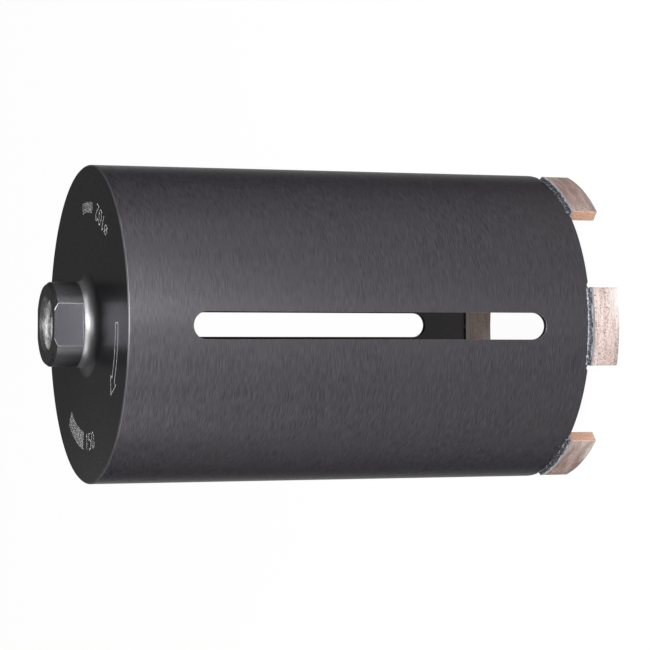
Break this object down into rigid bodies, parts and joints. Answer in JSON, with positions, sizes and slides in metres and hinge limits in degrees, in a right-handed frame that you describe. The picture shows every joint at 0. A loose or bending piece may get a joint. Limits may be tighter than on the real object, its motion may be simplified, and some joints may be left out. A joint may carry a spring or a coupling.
{
  "type": "diamond core bit",
  "caption": "Slotted steel barrel with diamond segments on its rim and a welded end cap whose threaded hub has wrench flats, for dry drilling of round holes in masonry.",
  "frame": {"origin": "on the axis, in the plane of the segment tips that the bit stands on", "axes": "+Z along the axis towards the threaded hub, -Y towards one dust slot and one wrench flat"},
  "size_m": [0.1, 0.102, 0.1725],
  "materials": {
    "coated_steel": "black phosphate coating over turned steel, satin",
    "bare_steel": "ground",
    "weld_metal": "laser welded, darkened by heat",
    "diamond_matrix": "sintered bronze, ground"
  },
  "bodies": {
    "root": {"barrel": "coated_steel", "end_cap": "coated_steel", "segment_matrix_1": "diamond_matrix", "segment_matrix_2": "diamond_matrix", "segment_matrix_3": "diamond_matrix", "segment_matrix_4": "diamond_matrix", "segment_matrix_5": "diamond_matrix", "segment_matrix_6": "diamond_matrix", "segment_base_1": "bare_steel", "segment_base_2": "bare_steel", "segment_base_3": "bare_steel", "segment_base_4": "bare_steel", "segment_base_5": "bare_steel", "segment_base_6": "bare_steel", "weld_seam_1": "weld_metal", "weld_seam_2": "weld_metal", "weld_seam_3": "weld_metal", "weld_seam_4": "weld_metal", "weld_seam_5": "weld_metal", "weld_seam_6": "weld_metal"}
  },
  "joints": []
}
